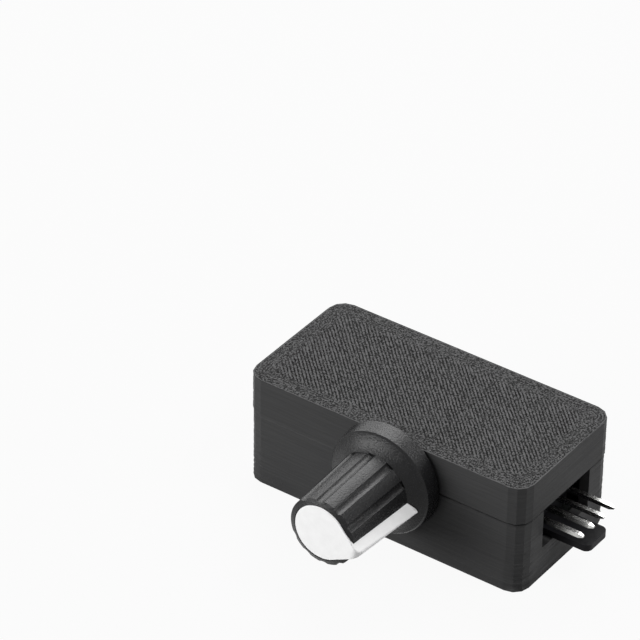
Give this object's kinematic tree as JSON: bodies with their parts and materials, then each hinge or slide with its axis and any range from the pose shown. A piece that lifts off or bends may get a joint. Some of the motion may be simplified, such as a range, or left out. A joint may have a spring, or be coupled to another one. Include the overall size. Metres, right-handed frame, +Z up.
{
  "type": "fan speed controller",
  "caption": "Small rectangular printed box with a fluted skirted control knob on its front and a row of fan header pins in a notch at one end.",
  "frame": {"origin": "middle of the case's flat underside", "axes": "+X along the case towards the fan header, -Y out of the front panel along the knob, +Z up through the lid"},
  "size_m": [0.0505, 0.0383, 0.0194],
  "materials": {
    "printed_plastic": "charcoal black layered print",
    "board_laminate": "green solder mask",
    "zinc_casting": "plated die casting",
    "control_plastic": "black moulding",
    "steel_sheet": "plated steel",
    "track_wafer": "brown phenolic sheet with carbon film",
    "tinned_metal": "bright tin plating",
    "shaft_metal": "turned",
    "spring_metal": "spring bronze",
    "knob_plastic": "satin black moulding",
    "pointer_plastic": "white moulding",
    "header_plastic": "black moulding",
    "jack_plastic": "black moulding",
    "jack_pin_metal": "nickel plating",
    "chip_plastic": "black moulding compound",
    "can_metal": "bright drawn can",
    "resistor_ceramic": "glazed ceramic chip",
    "capacitor_ceramic": "tan ceramic chip"
  },
  "bodies": {
    "housing": {"case_base": "printed_plastic", "case_lid": "printed_plastic", "chip_capacitors": "capacitor_ceramic", "chip_resistors": "resistor_ceramic", "circuit_board": "board_laminate", "control_bushing": "zinc_casting", "control_housing": "control_plastic", "control_nut": "steel_sheet", "control_saddle": "steel_sheet", "control_terminals": "tinned_metal", "control_track": "track_wafer", "control_washer": "steel_sheet", "fan_header_housing": "header_plastic", "fan_header_pins": "tinned_metal", "filter_capacitor_can": "can_metal", "filter_capacitor_foot": "chip_plastic", "output_transistor": "chip_plastic", "power_jack_centre_pin": "jack_pin_metal", "power_jack_housing": "jack_plastic", "power_jack_spring_contact": "tinned_metal", "protection_diode": "chip_plastic", "signal_diodes": "chip_plastic", "timer_chip": "chip_plastic", "timer_chip_leads": "tinned_metal"},
    "control": {"control_rotor": "control_plastic", "control_shaft": "shaft_metal", "control_wiper": "spring_metal", "knob_body": "knob_plastic", "knob_pointer": "pointer_plastic"}
  },
  "joints": [
    {"name": "knob_turn", "type": "hinge", "parent": "housing", "child": "control", "pos_m": [0.0016, -0.011, 0.0114], "axis": [0, 1, 0], "range_deg": [-242.5, 37.5]}
  ]
}
